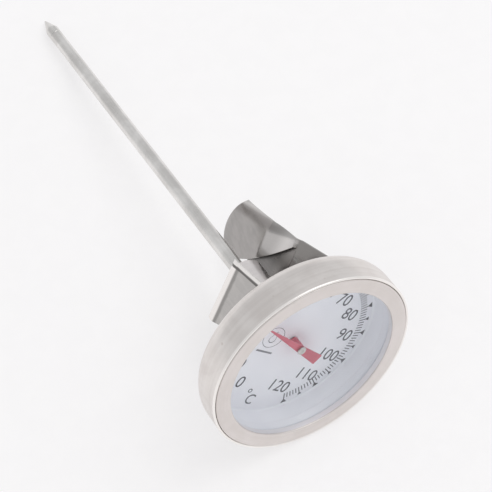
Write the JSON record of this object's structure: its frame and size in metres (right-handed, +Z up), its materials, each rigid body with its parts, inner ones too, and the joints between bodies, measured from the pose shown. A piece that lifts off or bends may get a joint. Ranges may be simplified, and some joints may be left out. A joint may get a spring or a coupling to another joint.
{
  "type": "dial thermometer",
  "caption": "Round dial thermometer: turning pointer behind a glass, long pointed steel stem, and a sheet steel pan clip that slides along and turns about the stem.",
  "frame": {"origin": "under the middle of the bounding box, on the table the thermometer lies on", "axes": "+Z up from the table; the dial looks along -Y and about 10 degrees upward; the stem runs to +Y and touches the table near its point"},
  "size_m": [0.052, 0.1494, 0.0522],
  "materials": {
    "satin_steel": "satin",
    "bright_spring_steel": "bright rolled",
    "window_glass": "clear",
    "gasket_silicone": "matte",
    "white_spacer_plastic": "matte",
    "dial_white_paint": "white paint with printed scale",
    "pointer_red_paint": "red paint",
    "bearing_brass": "turned",
    "bimetal_strip": "rolled"
  },
  "bodies": {
    "head": {"case_cup": "satin_steel", "bezel_ring": "satin_steel", "window_lens": "window_glass", "window_gasket": "gasket_silicone", "dial_spacer_ring": "white_spacer_plastic", "dial_plate": "dial_white_paint", "dial_support_ring": "white_spacer_plastic", "stem_collar": "satin_steel", "stem_tube": "satin_steel", "stem_tip": "satin_steel", "upper_bearing": "bearing_brass", "lower_bearing": "bearing_brass", "coil_anchor": "bearing_brass", "bimetal_coil": "bimetal_strip"},
    "pointer": {"spindle": "satin_steel", "coil_clamp": "bearing_brass", "pointer_bush": "pointer_red_paint", "pointer_cap": "satin_steel", "pointer": "pointer_red_paint"},
    "guide_sleeve": {"clip_guide_sleeve": "satin_steel"},
    "pan_clip": {"clip_bracket": "bright_spring_steel", "clip_back_plate": "bright_spring_steel", "clip_leaf": "bright_spring_steel", "clip_rivet_1": "satin_steel", "clip_rivet_2": "satin_steel", "clip_rivet_3": "satin_steel", "clip_rivet_4": "satin_steel"}
  },
  "joints": [
    {"name": "pointer_turn", "type": "hinge", "parent": "head", "child": "pointer", "pos_m": [0, -0.07032, 0.0267], "axis": [0, 0.9845, -0.1756], "range_deg": [-80, 222], "stiffness_Nm_per_rad": 0.00005},
    {"name": "clip_slide", "type": "slide", "parent": "head", "child": "guide_sleeve", "axis": [0, 0.9845, -0.1756], "range_m": [0, 0.1]},
    {"name": "clip_swivel", "type": "hinge", "parent": "guide_sleeve", "child": "pan_clip", "pos_m": [0, -0.07032, 0.0267], "axis": [0, 0.9845, -0.1756], "continuous": true}
  ]
}
